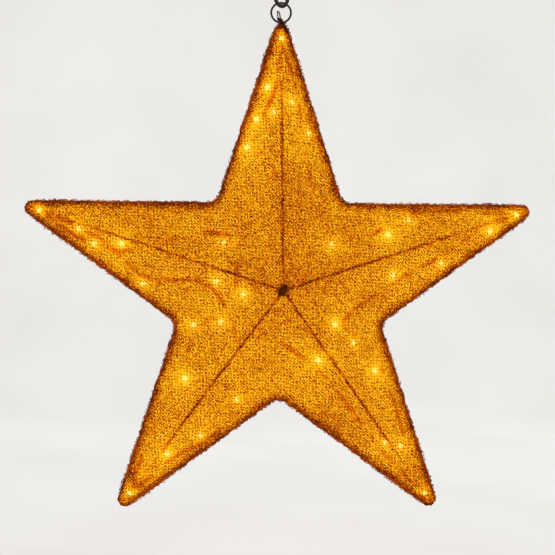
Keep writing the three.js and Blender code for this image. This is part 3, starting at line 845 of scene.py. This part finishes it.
class STAR_OT_covers(bpy.types.Operator):
    """Stretch the front and back cloth covers over the frame and paint their light from inside"""
    bl_idname = "star.covers"
    bl_label = "Cloth covers"

    def execute(self, context):
        cloth, glow = context.scene.star_cloth, context.scene.star_glow
        material = woven_material("glowing_weave", cloth, glow)
        cable = cable_tree()
        for side, face in SIDES:
            mesh, places = cover_mesh(cloth, face)
            light_cover(mesh, places, glow, cable)
            piece = placed(f"{side}_weave", mesh, "star", material, [f"{side}_cover"])
            skin = piece.modifiers.new("thickness", "SOLIDIFY")
            skin.thickness = cloth.thickness
            skin.offset = -1.0
        return {"FINISHED"}


def edge_path(cloth, inset, steps):
    """Points along the star's edge, set in by a distance, with each point's ways along and out of
    the edge and how far it is from the reach of the star's points."""
    x, z = outline_points(cloth.apothem - inset, steps, cloth.notch_bend + inset)
    points = np.stack([x, np.zeros(steps), z], 1)
    along = np.roll(points, -1, 0) - np.roll(points, 1, 0)
    along /= np.linalg.norm(along, axis=1)[:, None]
    outward = np.stack([-along[:, 2], np.zeros(steps), along[:, 0]], 1)
    from_tip = TIP_REACH - np.hypot(x, z)
    return points + (0, 0, STAR_CENTRE), along, outward, from_tip


def any_way(rng):
    """A random way in space, of no set length."""
    return Vector([rng.gauss(0, 1) for _ in range(3)])


def frayed(rng, root, way, reach, curl):
    """One frayed strand: a wandering path from its root, thinner towards its end."""
    points, shares = [Vector(root)], [1.0]
    way = Vector(way).normalized()
    bend = any_way(rng).normalized()
    steps, bend_share, wander_share, thinning = 4, 0.45, 0.4, 0.55
    for i in range(steps):
        way = (way + bend * curl * bend_share + any_way(rng) * curl * wander_share).normalized()
        points.append(points[-1] + way * reach / steps)
        shares.append(1 - thinning * (i + 1) / steps)
    return points, shares


def thickening(hem, from_tip):
    """The edge's share of its thickness: most a little way behind each point, least on it."""
    fullest, spread, thin_end = 0.038, 0.026, 0.008
    behind = np.exp(-((from_tip - fullest) / spread) ** 2)
    return 1 + hem.growth * behind - 0.5 * np.exp(-(from_tip / thin_end) ** 2)


def edge_material(name, hem):
    """The fibre of the cloth's edge, with a little painted glow for the light from inside."""
    return fibre_material(name, hem.dark, hem.light, hem.warmth)


class STAR_OT_hem(bpy.types.Operator):
    """Turn the cloth's dark edge over the rim, thicker behind the points"""
    bl_idname = "star.hem"
    bl_label = "Turned edge"

    def execute(self, context):
        cloth, hem = context.scene.star_cloth, context.scene.star_hem
        steps, inset = 1300, hem.width * 0.6
        points, _, _, from_tip = edge_path(cloth, inset, steps)
        shares = thickening(hem, from_tip) * (1 + 0.3 * ripple(points, 0.012, 3))
        mesh = strands_mesh([(points, shares)], hem.width, sides=4, closed=True)
        places = coordinates(mesh)
        places[:, 1] *= hem.depth / hem.width
        out = places - points[np.repeat(np.arange(steps), len(places) // steps)]
        out /= np.maximum(np.linalg.norm(out, axis=1), MM * MM)[:, None]
        rough = ripple(places, 0.0042, 29) * 0.0005 + ripple(places, 0.0016, 31) * 0.0003
        set_coordinates(mesh, places + out * rough[:, None])
        material = edge_material("turned_edge", hem)
        placed("turned_edge", mesh, "star", material)
        return {"FINISHED"}


class STAR_OT_loops(bpy.types.Operator):
    """Let the cut weave's yarn stand in small uneven loops along the edge"""
    bl_idname = "star.loops"
    bl_label = "Yarn loops"

    def execute(self, context):
        cloth, hem = context.scene.star_cloth, context.scene.star_hem
        rng = random.Random(67)
        points, along, outward, from_tip = edge_path(cloth, 0.0, EDGE_STEPS)
        thick = thickening(hem, from_tip)
        slope = APEX_HEIGHT / cloth.apothem
        rim_reach, sunk = 0.0012, 0.0004
        turns = [math.pi * (0.1 + 0.8 * k / 5) for k in range(6)]
        paths = []
        for _ in range(hem.loops):
            i = rng.randrange(EDGE_STEPS)
            depth = rng.gauss(0, 0.55) * hem.depth * thick[i]
            inset = min(max(rng.gauss(0.35, 1), -0.25), 2.4) * hem.reach_in * thick[i]
            depth += math.copysign(slope * max(inset - rim_reach, 0), depth)
            out, run = Vector(outward[i]), Vector(along[i])
            root = Vector(points[i]) + Vector((0, depth, 0)) - out * inset
            away = (out * rng.uniform(0.3, 1.0)
                    + Vector((0, math.copysign(rng.uniform(0, 1.0), depth), 0))).normalized()
            side = (run + Vector((0, rng.gauss(0, 0.9), 0)) + out * rng.gauss(0, 0.4)).normalized()
            tall = hem.loop_size * rng.uniform(0.35, 1.0) * thick[i]
            wide = hem.loop_size * rng.uniform(0.4, 1.2)
            skew = rng.uniform(-0.5, 0.5)
            path = [root + side * wide * (math.cos(t) + skew * math.sin(t))
                    + away * tall * math.sin(t) - away * sunk for t in turns]
            paths.append((path, [rng.uniform(0.7, 1.15) for _ in path]))
        material = edge_material("yarn_loops", hem)
        mesh = strands_mesh(paths, hem.yarn_radius, sides=0)
        placed("yarn_loops", mesh, "star", material)
        return {"FINISHED"}


class STAR_OT_fraying(bpy.types.Operator):
    """Fray the cloth's edge into short curled strands all round"""
    bl_idname = "star.fraying"
    bl_label = "Frayed strands"

    def execute(self, context):
        cloth, hem = context.scene.star_cloth, context.scene.star_hem
        rng = random.Random(41)
        points, along, outward, _ = edge_path(cloth, 0.0, EDGE_STEPS)
        paths = []
        for _ in range(hem.strands):
            i = rng.randrange(EDGE_STEPS)
            depth = rng.gauss(0, 0.5) * hem.depth
            out = Vector(outward[i])
            root = Vector(points[i]) + Vector((0, depth, 0)) - out * (0.0006 + 0.28 * abs(depth))
            way = (out * rng.uniform(0.2, 1.0) + Vector(along[i]) * rng.gauss(0, 0.9)
                   + Vector((0, math.copysign(rng.uniform(0, 0.8), depth), 0)))
            reach = hem.strand_length * min(rng.expovariate(2.2) + 0.25, 1.2)
            paths.append(frayed(rng, root, way, reach, 0.9))
        material = edge_material("frayed_strands", hem)
        mesh = strands_mesh(paths, hem.strand_radius, sides=0)
        placed("frayed_strands", mesh, "star", material)
        return {"FINISHED"}


def rolled(knot, centre):
    """A ring of rolled cloth, creased and squeezed flatter from its sides."""
    bm = bmesh.new()
    bmesh.ops.create_circle(bm, segments=20, radius=knot.bunch_thick,
                            matrix=Matrix.Translation((knot.bunch_radius, 0, 0))
                            @ Matrix.Rotation(math.pi / 2, 4, "X"))
    bmesh.ops.spin(bm, geom=bm.verts[:] + bm.edges[:], cent=(0, 0, 0), axis=(0, 0, 1),
                   angle=2 * math.pi, steps=72, use_merge=True)
    places = np.array([v.co for v in bm.verts])
    folds = ripple(places, 0.0050, 91) * 0.0006 + ripple(places, 0.0018, 92) * 0.0003
    bm.normal_update()
    for vert, fold in zip(bm.verts, folds):
        vert.co += vert.normal * fold
    bmesh.ops.scale(bm, vec=(0.70, 0.95, 1.3), verts=bm.verts)
    bmesh.ops.translate(bm, vec=centre, verts=bm.verts)
    return bm


def lump(size, centre, seed, roughness, turned):
    """A bundle of cloth: a rounded and turned lump with folds and creases."""
    bm = bmesh.new()
    bmesh.ops.create_icosphere(bm, subdivisions=5, radius=1.0)
    places = np.array([v.co for v in bm.verts])
    folds = (ripple(places * 0.01, 0.009, seed) * 0.5
             + ripple(places * 0.01, 0.003, seed + 1) * 0.25)
    for vert, fold in zip(bm.verts, folds):
        vert.co *= 1 + roughness * fold
    bmesh.ops.scale(bm, vec=size, verts=bm.verts)
    bmesh.ops.rotate(bm, cent=(0, 0, 0), matrix=turned, verts=bm.verts)
    bmesh.ops.translate(bm, vec=centre, verts=bm.verts)
    return bm


def oval(centre, u, v, radii, steps=28):
    """A closed oval path about a centre, in the plane of two ways."""
    turns = [2 * math.pi * i / steps for i in range(steps)]
    return [centre + u * radii[0] * math.cos(t) + v * radii[1] * math.sin(t) for t in turns]


def knot_wraps(rng, knot, centre, long_way, short_way, out):
    """Bands of yarn round a knot, each with its shares of the yarn's radius."""
    wraps = []
    for shift in (-0.0026, -0.0010, 0.0008, 0.0024):
        narrow = math.sqrt(max(0.0, 1 - (shift / 0.0058) ** 2))
        middle_of = centre + long_way * (shift + rng.uniform(-0.0002, 0.0002))
        tilt = (short_way + long_way * rng.uniform(-0.25, 0.25)).normalized()
        points = oval(middle_of, tilt, out, (0.0033 * narrow, (knot.deep + 0.0003) * narrow))
        wraps.append((points, [1.0 + rng.uniform(-0.2, 0.2) for _ in points]))
    return wraps


class STAR_OT_ties(bpy.types.Operator):
    """Tie the cloth in a wrapped knot over each hub, with loose ends"""
    bl_idname = "star.ties"
    bl_label = "Apex knots"

    def execute(self, context):
        knot = context.scene.star_knot
        material = fibre_material("knotted_cloth", knot.dark, knot.light)
        for side, face in SIDES:
            low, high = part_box(f"{side}_knot")
            centre = (low + high) / 2
            centre.y = (low.y if face < 0 else high.y) - face * knot.deep
            turned = Matrix.Rotation(knot.tilt * face, 3, "Y")
            bm = lump((knot.long, knot.deep, knot.short), centre, 61 + face, 0.42, turned)
            long_way, short_way = turned @ Vector((1, 0, 0)), turned @ Vector((0, 0, 1))
            out = Vector((0, face, 0))
            finished(f"{side}_tie", bm, "star", material, [f"{side}_knot"])

            rng = random.Random(7 + face)
            wraps = knot_wraps(rng, knot, centre, long_way, short_way, out)
            mesh = strands_mesh(wraps, knot.wrap_radius, sides=2, closed=True)
            placed(f"{side}_tie_wraps", mesh, "star", material)

            ends = []
            for _ in range(knot.ends):
                root = centre + long_way * rng.gauss(0, 0.004) + short_way * rng.gauss(0, 0.002)
                way = (long_way * rng.gauss(0, 1) + short_way * rng.gauss(0, 1)
                       + out * rng.uniform(-0.1, 0.5))
                ends.append(frayed(rng, root + out * 0.001, way, rng.uniform(0.003, 0.0075), 1.5))
            mesh = strands_mesh(ends, knot.end_radius, sides=0)
            placed(f"{side}_tie_ends", mesh, "star", material)
        return {"FINISHED"}


class STAR_OT_top_tie(bpy.types.Operator):
    """Bunch the cloth round the hanging eye at the top point"""
    bl_idname = "star.top_tie"
    bl_label = "Top bunch"

    def execute(self, context):
        knot = context.scene.star_knot
        material = fibre_material("bunched_cloth", knot.dark, knot.light)
        top = STAR_CENTRE + TIP_REACH
        bunch = Vector((0.0005, 0, top - 0.0022))
        finished("top_bunch", rolled(knot, bunch), "star", material)

        gathered = Vector((0.0042, 0, top - 0.0050))
        lean = Matrix.Rotation(math.radians(-30), 3, "Y")
        bm = lump((0.0024, 0.0042, 0.0072), gathered, 96, 0.5, lean)
        finished("gathered_cloth", bm, "star", material)

        rng = random.Random(23)
        bunch_share = 0.4
        ends = []
        for _ in range(knot.bunch_ends):
            angle = rng.uniform(0, 2 * math.pi)
            out = Vector((math.cos(angle), math.sin(angle), 0))
            if rng.random() < bunch_share:
                root = bunch + out * rng.uniform(0.002, 0.004)
                root.z += rng.gauss(0, 0.0018)
            else:
                root = gathered + lean @ Vector((out.x * 0.0020, out.y * 0.0038,
                                                 rng.gauss(0, 0.0036)))
            way = out + Vector((0.45, 0, rng.gauss(0, 0.8)))
            ends.append(frayed(rng, root, way, rng.uniform(0.0015, 0.0055), 0.9))
        mesh = strands_mesh(ends, knot.bunch_end_radius, sides=0)
        placed("top_bunch_ends", mesh, "star", material)
        return {"FINISHED"}


def section(radius, segments, centre, along):
    """A bmesh that starts as a round wire's end face."""
    bm = bmesh.new()
    turned = Vector(along).to_track_quat("Z", "Y").to_matrix().to_4x4()
    bmesh.ops.create_circle(bm, cap_ends=True, segments=segments, radius=radius,
                            matrix=Matrix.Translation(centre) @ turned)
    return bm, bm.faces[:]


def bent(bm, end, centre, axis, angle, steps):
    """Bends the wire on from its end face, and gives the new end face."""
    result = bmesh.ops.spin(bm, geom=end, cent=centre, axis=axis, angle=angle, steps=steps)
    return [g for g in result["geom_last"] if isinstance(g, bmesh.types.BMFace)]


def run_on(bm, end, vec):
    """Runs the wire straight on from its end face."""
    result = bmesh.ops.extrude_face_region(bm, geom=end)["geom"]
    verts = [g for g in result if isinstance(g, bmesh.types.BMVert)]
    bmesh.ops.translate(bm, vec=vec, verts=verts)
    bmesh.ops.delete(bm, geom=end, context="FACES_ONLY")
    return [g for g in result if isinstance(g, bmesh.types.BMFace)]


class STAR_OT_hanging_ring(bpy.types.Operator):
    """Bend the blackened ring that hangs on the hook"""
    bl_idname = "star.hanging_ring"
    bl_label = "Hanging ring"

    def execute(self, context):
        made = context.scene.star_hanging
        centre = middle("hanging_ring")
        bm = bmesh.new()
        wire = Matrix.Translation(centre + Vector((made.ring_radius, 0, 0)))
        bmesh.ops.create_circle(bm, segments=20, radius=made.ring_wire, matrix=wire)
        bmesh.ops.spin(bm, geom=bm.verts[:] + bm.edges[:], cent=centre, axis=(0, 1, 0),
                       angle=2 * math.pi, steps=96, use_merge=True)
        material = wire_material("blackened_ring", made.black, (0.016, 0.013, 0.011), 0.6)
        finished("ring_wire", bm, "ring", material, ["hanging_ring"])
        return {"FINISHED"}


class STAR_OT_hook(bpy.types.Operator):
    """Bend the S-hook that holds the ring"""
    bl_idname = "star.hook"
    bl_label = "S-hook"

    def execute(self, context):
        made = context.scene.star_hanging
        bend, leg = made.hook_bend, made.hook_leg
        high = made.hook_wire - bend
        low = high - math.hypot(leg, 2 * bend)
        leg_angle = math.atan2(2 * bend, leg)
        sweep = math.pi + made.hook_open + leg_angle
        start = Vector((bend * math.cos(made.hook_open), 0,
                        high - bend * math.sin(made.hook_open)))
        way = Vector((math.sin(made.hook_open), 0, math.cos(made.hook_open)))
        bm, end = section(made.hook_wire, 24, start, way)
        steps = 40
        end = bent(bm, end, (0, 0, high), (0, -1, 0), sweep, steps)
        down = Vector((math.sin(leg_angle), 0, -math.cos(leg_angle)))
        end = run_on(bm, end, down * leg)
        bent(bm, end, (0, 0, low), (0, 1, 0), sweep, steps)
        caps = [e for e in bm.edges if any(len(f.verts) > 4 for f in e.link_faces)]
        bmesh.ops.bevel(bm, geom=caps, offset=made.hook_wire * 0.7, affect="EDGES", segments=4,
                        profile=0.5, material=-1)
        bmesh.ops.rotate(bm, cent=(0, 0, 0), verts=bm.verts,
                         matrix=Matrix.Rotation(made.hook_turn, 3, "Z"))
        material = wire_material("hook_steel_wire", made.steel, (0.025, 0.019, 0.015), 1.0)
        finished("steel_hook", bm, "hook", material, ["s_hook"])
        return {"FINISHED"}


def eye_frame(made):
    """The eye's own frame: its origin at its lower bend's middle, its legs along Z."""
    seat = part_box("hanging_eye")[0].z + made.eye_half_width + made.eye_wire
    return (Matrix.Translation((0, 0, seat)) @ Matrix.Rotation(-made.eye_lean, 4, "Y")
            @ Matrix.Rotation(-made.eye_turn, 4, "Z"))


def eye_loop(made, placing):
    """A closed long loop of wire: two legs and two half-round bends."""
    half, wire = made.eye_half_width, made.eye_wire
    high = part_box("hanging_eye")[1].z
    tall = (high - placing.translation.z - wire) / math.cos(made.eye_lean) - half
    bm, end = section(wire, 16, (0, half, 0), (0, 0, 1))
    end = run_on(bm, end, (0, 0, tall))
    end = bent(bm, end, (0, 0, tall), (1, 0, 0), math.pi, 20)
    end = run_on(bm, end, (0, 0, -tall))
    bent(bm, end, (0, 0, 0), (1, 0, 0), math.pi, 20)
    caps = [f for f in bm.faces if len(f.verts) > 4]
    bmesh.ops.delete(bm, geom=caps, context="FACES_ONLY")
    bmesh.ops.remove_doubles(bm, verts=bm.verts, dist=wire * 0.05)
    bmesh.ops.transform(bm, matrix=placing, verts=bm.verts)
    return bm


def binding_path(made, placing):
    """Turns of thread laid flat round both of the eye's legs."""
    half = made.eye_half_width
    low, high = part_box("eye_binding")
    height = (placing.inverted() @ ((low + high) / 2)).z
    turns, steps, tall, clear = 4.5, 150, 0.0019, 0.0003
    reach = made.eye_wire + clear + made.thread_radius
    points = []
    for i in range(steps + 1):
        angle = 2 * math.pi * turns * i / steps
        side, out = math.sin(angle), math.cos(angle)
        across = side * reach + math.copysign(half, side) * min(1, abs(side) * 2.2)
        points.append(placing @ Vector((out * (reach + 0.0001), across,
                                        height + (i / steps - 0.5) * tall)))
    return points


def ring_wraps(made):
    """Short strands over the ring's lowest wire, in front of it and behind."""
    rng = random.Random(83)
    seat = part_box("hanging_ring")[0].z + made.ring_wire
    wraps = []
    for i in range(9):
        side = -1 if i % 3 else 1
        across = (i - 4) * 0.0005
        clear = side * (made.ring_wire + rng.uniform(0.0008, 0.0014))
        points = [Vector((across * 1.2 + rng.uniform(-1, 1) * 0.0004 + rise * 0.2,
                          clear * math.sqrt(1 - (rise / 0.0052) ** 2), seat - rise))
                  for rise in (-0.0038, -0.0024, -0.0008, 0.0008, 0.0024, 0.0042)]
        wraps.append((points, [0.9, 1.1, 1.0, 1.1, 1.0, 0.8]))
    return wraps


class STAR_OT_eye(bpy.types.Operator):
    """Bend the wire eye at the top point and bind it above the ring"""
    bl_idname = "star.eye"
    bl_label = "Hanging eye"

    def execute(self, context):
        made, knot = context.scene.star_hanging, context.scene.star_knot
        placing = eye_frame(made)
        finish = wire_material("eye_wire_finish", (0.012, 0.008, 0.006), (0.035, 0.018, 0.010),
                               0.4)
        finished("wire_eye", eye_loop(made, placing), "star", finish, ["hanging_eye"])

        thread = fibre_material("binding_thread", knot.dark, knot.light)
        mesh = strands_mesh(ring_wraps(made), made.wrap_radius, sides=2)
        placed("eye_wraps", mesh, "star", thread)
        points = binding_path(made, placing)
        mesh = strands_mesh([(points, [1.0] * len(points))], made.thread_radius, sides=2)
        placed("thread_binding", mesh, "star", thread, ["eye_binding"])
        return {"FINISHED"}


def even_light(stage):
    """A world that lights the star evenly, and looks pale behind it and in its metal."""
    world = bpy.data.worlds.new("even_light")
    world.use_nodes = True
    background = world.node_tree.nodes["Background"]
    background.inputs["Color"].default_value = (1, 1, 1, 1)
    graph = Graph(world.node_tree)
    path = graph.node("ShaderNodeLightPath")
    seen = [graph.out(path, f"Is {kind} Ray") for kind in ("Camera", "Glossy", "Transmission")]
    pale = graph.math("MAXIMUM", graph.math("MAXIMUM", seen[0], seen[1]), seen[2])
    graph.put(background.inputs["Strength"], graph.math(
        "MULTIPLY_ADD", pale, stage.seen_world - stage.world, stage.world))
    return world


def floor_mesh(stage):
    """A wide floor that curves up into a tall backdrop."""
    height, half, bend = cad_box[0][2] - stage.floor_drop, 4.0, 0.8
    bm = bmesh.new()
    bmesh.ops.create_grid(bm, x_segments=1, y_segments=1, size=half,
                          matrix=Matrix.Translation((0, -half / 2, height)))
    far = [e for e in bm.edges if all(v.co.y > 0 for v in e.verts)]
    bmesh.ops.spin(bm, geom=far, cent=(0, half / 2, height + bend), axis=(1, 0, 0),
                   angle=math.pi / 2, steps=24)
    back = [e for e in bm.edges if all(v.co.z > height + bend - 10 * MM for v in e.verts)]
    raised = bmesh.ops.extrude_edge_only(bm, edges=back)["geom"]
    bmesh.ops.translate(bm, vec=(0, 0, 4.0),
                        verts=[v for v in raised if isinstance(v, bmesh.types.BMVert)])
    mesh = mesh_of(bm, "floor")
    mesh.shade_smooth()
    return mesh


def floor_material(stage):
    """A pale floor and backdrop with faint broad patches."""
    material, graph, shader = new_material("pale_floor", stage.pale, Roughness=0.9,
                                           Specular_IOR_Level=0.1, Emission_Strength=0.25)
    mottle = graph.mapped(graph.noise(graph.position(), 3.0, 4.0), 0.3, 0.7)
    paler = [0.3 + 0.7 * part for part in stage.pale]
    tone = graph.blend(mottle, stage.pale, paler)
    graph.feed(shader, Base_Color=tone, Emission_Color=tone)
    return material


def soft_lamp(name, place, size, power):
    """A square soft lamp, aimed at the star's middle."""
    lamp = bpy.data.lights.new(name, "AREA")
    lamp.size, lamp.energy = size, power
    lit = bpy.data.objects.new(name, lamp)
    lit.location = place
    aim = Vector((0, 0, STAR_CENTRE)) - lit.location
    lit.rotation_euler = aim.to_track_quat("-Z", "Y").to_euler()
    return lit


def picture_camera(stage):
    """A camera that sees the star as the picture does."""
    camera = bpy.data.cameras.new("camera")
    camera.lens = camera.sensor_width * stage.distance / stage.picture_width
    camera.clip_end = 30
    view = bpy.data.objects.new("camera", camera)
    aim = Vector((-stage.aim_left, 0, STAR_CENTRE + stage.aim_up))
    away = Vector((-math.sin(stage.camera_turn), -math.cos(stage.camera_turn), 0))
    look = (-away).to_track_quat("-Z", "Y").to_matrix().to_4x4()
    view.matrix_world = (Matrix.Translation(aim + away * stage.distance) @ look
                         @ Matrix.Rotation(stage.camera_roll, 4, "Z"))
    return view


class STAR_OT_stage(bpy.types.Operator):
    """Set the pale floor and backdrop, the soft lights and the camera"""
    bl_idname = "star.stage"
    bl_label = "Stage"

    def execute(self, context):
        scene, stage = context.scene, context.scene.star_stage
        scene.world = even_light(stage)
        scene.view_settings.view_transform = "Standard"
        mesh = floor_mesh(stage)
        mesh.materials.append(floor_material(stage))
        floor = bpy.data.objects.new("floor", mesh)
        scene.collection.objects.link(floor)
        for name, place, size, power in (
                ("key", (-1.6, -2.2, 1.3), 1.8, stage.key),
                ("fill", (2.2, -1.4, 0.2), 1.6, stage.key * 0.45),
                ("back", (0.8, 1.8, 1.2), 1.4, stage.key * 0.5)):
            scene.collection.objects.link(soft_lamp(name, place, size, power))
        scene.camera = picture_camera(stage)
        scene.collection.objects.link(scene.camera)
        return {"FINISHED"}


class STAR_OT_frame_wire(bpy.types.Operator):
    """Give the welded wire frame under the cloth its rusted finish"""
    bl_idname = "star.frame_wire"
    bl_label = "Wire frame"

    def execute(self, context):
        material = wire_material("dark_frame_wire", (0.10, 0.045, 0.018), (0.05, 0.02, 0.009), 0.3)
        for name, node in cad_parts.items():
            if name == "rim_wire" or "_rib_" in name or name.endswith("_hub"):
                give_finish(node.data, material)
        return {"FINISHED"}


class STAR_OT_lights(bpy.types.Operator):
    """Give the lamps, their cable and the cable gland their finish"""
    bl_idname = "star.lights"
    bl_label = "Light string"

    def execute(self, context):
        cable = moulded_material("brown_cable", (0.060, 0.020, 0.006), (0.11, 0.045, 0.016))
        rubber = moulded_material("gland_rubber", (0.035, 0.016, 0.008), (0.06, 0.03, 0.016))
        lens = lens_material(context.scene.star_glow)
        for name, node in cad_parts.items():
            if name.startswith("led_lens_"):
                give_finish(node.data, lens)
        give_finish(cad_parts["light_cable"].data, cable)
        give_finish(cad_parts["cable_gland"].data, rubber)
        return {"FINISHED"}


PIECES = (STAR_OT_stage, STAR_OT_covers, STAR_OT_hem, STAR_OT_loops, STAR_OT_fraying,
          STAR_OT_ties, STAR_OT_top_tie, STAR_OT_hanging_ring, STAR_OT_hook, STAR_OT_eye,
          STAR_OT_frame_wire, STAR_OT_lights)


class STAR_PT_panel(bpy.types.Panel):
    """The star's pieces and their sizes and colours"""
    bl_label = "Hanging star"
    bl_idname = "STAR_PT_panel"
    bl_space_type = "VIEW_3D"
    bl_region_type = "UI"
    bl_category = "Star"

    def draw(self, context):
        for group, kind in GROUPS.items():
            box = self.layout.box()
            for name in kind.__annotations__:
                box.prop(getattr(context.scene, group), name)
        for piece in PIECES:
            self.layout.operator(piece.bl_idname)


CLASSES = (*GROUPS.values(), *PIECES, STAR_PT_panel)


def register():
    for kind in CLASSES:
        bpy.utils.register_class(kind)
    for name, kind in GROUPS.items():
        setattr(bpy.types.Scene, name, PointerProperty(type=kind))


def unregister():
    for name in GROUPS:
        delattr(bpy.types.Scene, name)
    for kind in reversed(CLASSES):
        bpy.utils.unregister_class(kind)


def main():
    register()
    for piece in PIECES:
        getattr(bpy.ops.star, piece.bl_idname.partition(".")[2])()


if __name__ == "__main__":
    main()
